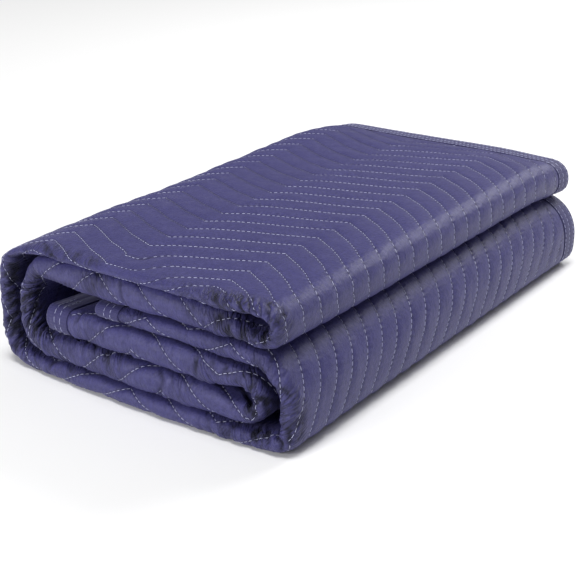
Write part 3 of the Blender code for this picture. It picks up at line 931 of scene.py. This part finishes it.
class Finish:
    """A material with a Principled shader, and one method that adds its other nodes."""

    def __init__(self, name, **values):
        self.material = bpy.data.materials.new(name)
        self.material.use_nodes = True
        self.tree = self.material.node_tree
        self.shader = self.tree.nodes["Principled BSDF"]
        titles = {"base": "Base Color", "roughness": "Roughness", "sheen": "Sheen Weight",
                  "sheen_roughness": "Sheen Roughness", "sheen_tint": "Sheen Tint",
                  "specular": "Specular IOR Level"}
        for key, value in values.items():
            self.shader.inputs[titles[key]].default_value = value

    def node(self, kind, settings=None, values=(), output=0):
        """A node of any kind: its settings first, then the values or links of its sockets."""
        made = self.tree.nodes.new(kind)
        for key, value in (settings or {}).items():
            setattr(made, key, value)
        pairs = values.items() if isinstance(values, dict) else enumerate(values)
        for key, value in pairs:
            if isinstance(value, Shade):
                self.tree.links.new(value.socket, made.inputs[key])
            else:
                made.inputs[key].default_value = value
        return Shade(self, made.outputs[output])

    def feed(self, title, value):
        self.tree.links.new(value.socket, self.shader.inputs[title])

    def noise(self, vector, scale, detail=2.0, roughness=0.5):
        return self.node("ShaderNodeTexNoise", {}, {"Vector": vector, "Scale": scale, "Detail": detail,
                                                    "Roughness": roughness})

    def mixed(self, share, first, second):
        """A colour between two, by a share from 0 to 1."""
        return self.node("ShaderNodeMix", {"data_type": "RGBA"}, {0: share, 6: first, 7: second}, 2)

    def place(self, uv_map):
        """A UV map as a vector, and its two parts."""
        vector = self.node("ShaderNodeUVMap", {"uv_map": uv_map})
        split = self.tree.nodes.new("ShaderNodeSeparateXYZ")
        self.tree.links.new(vector.socket, split.inputs[0])
        return vector, Shade(self, split.outputs[0]), Shade(self, split.outputs[1])

    def bump(self, height, distance, strength=1.0, under=None):
        values = {"Height": height, "Distance": distance, "Strength": strength}
        if under is not None:
            values["Normal"] = under
        return self.node("ShaderNodeBump", {}, values)


TURN = 2 * math.pi
YARN = 0.0009
NAVY = (0.032, 0.029, 0.132, 1.0)
PALER_NAVY = (0.049, 0.045, 0.182, 1.0)
WORN_NAVY = (0.108, 0.104, 0.265, 1.0)
SHADED_NAVY = (0.014, 0.013, 0.062, 1.0)
NAVY_SPECKS = (0.080, 0.076, 0.215, 1.0)
# Painted shade in the groove along each sewn line, and the dirt there
SEAM_DIRT_AND_SHADE_NAVY = (0.008, 0.007, 0.034, 1.0)
# The painted shade of creases, gathers and the hollow of the outer wrap
CREASE_SHADE_NAVY = (0.003, 0.003, 0.014, 1.0)


def quilted_finish():
    """A tightly woven navy cloth with a satin face, sewn down in lines."""
    cloth = Finish("navy_quilted_satin", roughness=0.55, sheen=0.10, sheen_roughness=0.42,
                   sheen_tint=(0.60, 0.58, 1.0, 1.0), specular=0.36)
    flat, s, u = cloth.place("cloth")
    _, along, lines = cloth.place("quilt")
    _, tight, fold_shade = cloth.place("folds")
    off = (lines + 0.5).math("FRACT") - 0.5
    from_line = off.math("ABSOLUTE") * (ROW_PITCH * math.cos(SLANT))
    beside = (from_line * -420.0).math("EXPONENT")
    close = (from_line * -1300.0).math("EXPONENT")
    broad = cloth.noise(flat, 14.0, 3.0, 0.55)
    fine = cloth.noise(flat, 900.0, 2.0, 0.6)
    worn = cloth.noise(flat, 95.0, 4.0, 0.65)
    mottled = cloth.noise(flat, 330.0, 3.0, 0.6)
    lean = cloth.node("ShaderNodeCombineXYZ", {}, (s * 165.0 + u * 85.0, u * 50.0, 0.0))
    drawn_up = cloth.noise(lean, 1.0, 2.0, 0.55)
    crease = (drawn_up * 2.0 - 1.0).math("ABSOLUTE")
    thin = (crease * -13.0).math("EXPONENT") * tight
    navy = cloth.mixed(broad, NAVY, PALER_NAVY)
    dusty = cloth.mixed((worn - 0.42) * 1.2, navy, WORN_NAVY)
    grained = cloth.mixed((mottled - 0.5) * 1.9 + 0.26, dusty, SHADED_NAVY)
    speckled = cloth.mixed((fine - 0.5) * 1.3 + 0.22, grained, NAVY_SPECKS)
    # Darker close to each sewn line: painted shade in its groove, and dirt
    sunk = cloth.mixed(close * 0.75, speckled, SEAM_DIRT_AND_SHADE_NAVY)
    # Painted shade in the creases of the gathers, in the listed creases and in the hollow of the outer wrap
    dark = (thin * 0.5 + fold_shade * 0.85).math("MINIMUM", 0.95)
    cloth.feed("Base Color", cloth.mixed(dark, sunk, CREASE_SHADE_NAVY))
    cloth.feed("Roughness", broad * 0.14 + fine * 0.10 + fold_shade * 0.35 + 0.33)
    ripple = (along * (TURN / STITCH_STEP)).math("SINE") * beside
    weave = (s * (TURN / YARN)).math("SINE") * (u * (TURN / YARN)).math("SINE")
    tiny = cloth.bump(weave * 0.3 + fine, 0.00014)
    folds = ripple * 0.22 + worn * 0.85 + mottled * 0.45 + crease.math("POWER", 0.6) * tight * 1.6
    cloth.feed("Normal", cloth.bump(folds, 0.0011, under=tiny))
    return cloth.material


THREAD_TWISTS = 30.0
PALE_THREAD = (0.66, 0.68, 0.95, 1.0)
GREY_THREAD = (0.40, 0.41, 0.66, 1.0)
# The painted shade of the stitches in the shaded span
SHADED_THREAD = (0.040, 0.038, 0.120, 1.0)


def thread_finish():
    """A pale twisted thread, with painted shade where it lies deep in a seam."""
    thread = Finish("pale_thread", roughness=0.6, sheen=0.3)
    _, lengthwise, number = thread.place("thread")
    twist = (lengthwise * THREAD_TWISTS).math("SINE") * 0.5 + 0.5
    _, sunk, _ = thread.place("sunk")
    shade = thread.mixed(twist * 0.4 + number * 0.4, PALE_THREAD, GREY_THREAD)
    # Painted shade: the stitches in the shaded span are drawn nearly as dark as the cloth
    thread.feed("Base Color", thread.mixed(sunk * 0.88, shade, SHADED_THREAD))
    thread.feed("Roughness", twist * 0.2 + 0.5)
    return thread.material


RIB = 0.0016
TAPE_NAVY = (0.017, 0.015, 0.068, 1.0)
PALER_TAPE = (0.031, 0.028, 0.108, 1.0)
RUBBED_TAPE = (0.060, 0.057, 0.180, 1.0)


def tape_finish():
    """A ribbed woven tape a little darker than the cloth."""
    tape = Finish("navy_woven_tape", roughness=0.6, sheen=0.3, sheen_roughness=0.4,
                  sheen_tint=(0.72, 0.72, 0.95, 1.0), specular=0.3)
    flat, along, _ = tape.place("tape")
    ribs = (along * (TURN / RIB)).math("SINE") * 0.5 + 0.5
    grain = tape.noise(flat, 500.0, 3.0, 0.6)
    broad = tape.noise(flat, 30.0, 3.0, 0.6)
    navy = tape.mixed(broad, TAPE_NAVY, PALER_TAPE)
    tape.feed("Base Color", tape.mixed(grain * 0.5 + ribs * 0.12, navy, RUBBED_TAPE))
    tape.feed("Roughness", grain * 0.2 + 0.5)
    tape.feed("Normal", tape.bump(ribs * 0.5 + grain, 0.00025))
    return tape.material


def edge_stops(fine_ranges, end, fine, coarse):
    """Stops along an edge, close together in the given ranges."""
    places = sorted({0.0, end} | {place for pair in fine_ranges for place in pair})
    stops = []
    for a, b in zip(places, places[1:]):
        shown = any(low <= (a + b) / 2 <= high for low, high in fine_ranges)
        stops += steps_between(a, b, fine if shown else coarse)
    return np.array(stops + [end])


def add_cloth():
    """The cloth takes the place of its solid."""
    piece = quilted_sheet()
    piece.data.materials.append(quilted_finish())
    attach(piece, "root")
    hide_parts("quilted_panel")


def add_strips():
    """The strips take the places of theirs: the far ones between the two on the long edges."""
    tape = tape_finish()
    corner = BINDING_WIDTH + 0.0005
    far_stops = width_stops(0.020, 0.006, 0.0040, corner, bundle.width - corner)
    folds = (
        (RUNS[1] - 0.03, RUNS[2] + 0.03),
        (RUNS[3] - 0.01, RUNS[4] + 0.01),
        (RUNS[5] - 0.002, RUNS[6] + 0.002),
    )
    side_stops = edge_stops(folds, CLOTH_LENGTH, 0.0025, 0.02)
    strips = (
        ("bound_far_edge_outer", "binding_far_outer", far_stops, lambda t, way: (t, way)),
        ("bound_far_edge_under", "binding_far_under", far_stops, lambda t, way: (t, CLOTH_LENGTH - way)),
        ("bound_side_core", "binding_side_core", side_stops, lambda t, way: (way, t)),
        ("bound_side_tucked", "binding_side_tucked", side_stops, lambda t, way: (bundle.width - way, t)),
    )
    for title, node, stops, place in strips:
        piece = strip(title, stops, place)
        piece.data.materials.append(tape)
        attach(piece, "root")
        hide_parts(node)


def add_thread():
    """The stitches that lie on the cloth and on the strips."""
    pale = thread_finish()
    for piece in (quilting_thread(), binding_thread()):
        piece.data.materials.append(pale)
        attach(piece, "root")


bpy.context.scene.view_settings.view_transform = "Standard"
camera()
studio()
add_cloth()
add_strips()
add_thread()
